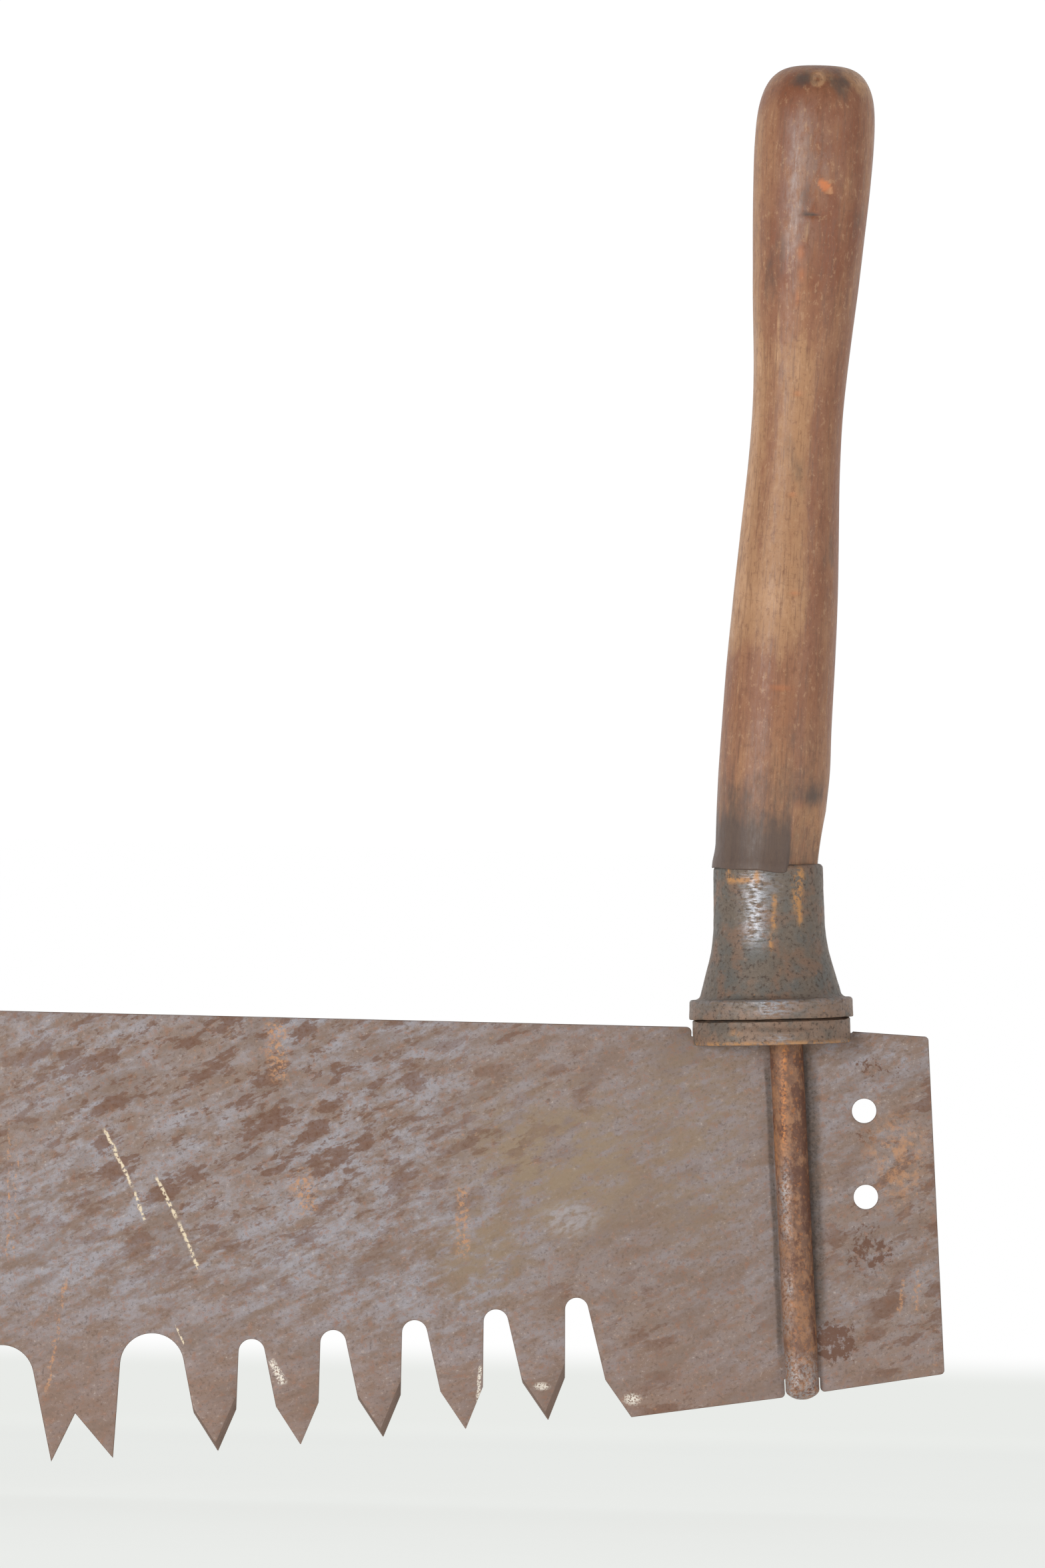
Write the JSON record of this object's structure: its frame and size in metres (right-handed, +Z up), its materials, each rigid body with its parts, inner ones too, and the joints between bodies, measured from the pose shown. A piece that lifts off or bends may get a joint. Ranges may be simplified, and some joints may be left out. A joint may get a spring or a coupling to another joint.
{
  "type": "two-man crosscut saw",
  "caption": "Long crosscut saw blade with lance and raker teeth and an upright turned wooden handle clamped near each end by a loop rod",
  "frame": {"origin": "midway between the blade's ends and faces, at the level of the lowest tooth tips", "axes": "+X along the blade, +Y through its thickness, +Z up from the teeth to the handles"},
  "size_m": [1.2308, 0.0616, 0.5423],
  "materials": {
    "blade_steel": "rusted steel plate, brown and mauve grey with darker blotches and orange streaks",
    "cast_iron": "dark rusted malleable iron casting, rubbed bright on its edges",
    "handle_wood": "worn oiled hardwood, reddish brown with a paler middle",
    "loop_steel": "forged steel rod, rusted orange brown",
    "nut_steel": "dull plain steel",
    "pin_steel": "dull plain steel"
  },
  "bodies": {
    "blade": {"blade": "blade_steel", "right_saddle": "cast_iron", "left_saddle": "cast_iron"},
    "right_handle": {"right_grip": "handle_wood", "right_ferrule": "cast_iron", "right_nut": "nut_steel", "right_ferrule_pin": "pin_steel"},
    "right_loop": {"right_loop_rod": "loop_steel"},
    "left_handle": {"left_grip": "handle_wood", "left_ferrule": "cast_iron", "left_nut": "nut_steel", "left_ferrule_pin": "pin_steel"},
    "left_loop": {"left_loop_rod": "loop_steel"}
  },
  "joints": [
    {"name": "right_handle_turn", "type": "hinge", "parent": "blade", "child": "right_handle", "pos_m": [0.5474, 0, 0.18453], "axis": [-0.0454, 0, 0.999], "range_deg": [0, 1800]},
    {"name": "right_loop_slide", "type": "slide", "parent": "blade", "child": "right_loop", "axis": [0.0454, 0, -0.999], "range_m": [0, 0.0098]},
    {"name": "left_handle_turn", "type": "hinge", "parent": "blade", "child": "left_handle", "pos_m": [-0.5474, 0, 0.18453], "axis": [0.0454, 0, 0.999], "range_deg": [0, 1800]},
    {"name": "left_loop_slide", "type": "slide", "parent": "blade", "child": "left_loop", "axis": [-0.0454, 0, -0.999], "range_m": [0, 0.0098]}
  ],
  "couplings": [
    {"joint": "right_loop_slide", "follows": "right_handle_turn", "m_per_rad": 0.00031096},
    {"joint": "left_loop_slide", "follows": "left_handle_turn", "m_per_rad": 0.00031096}
  ]
}
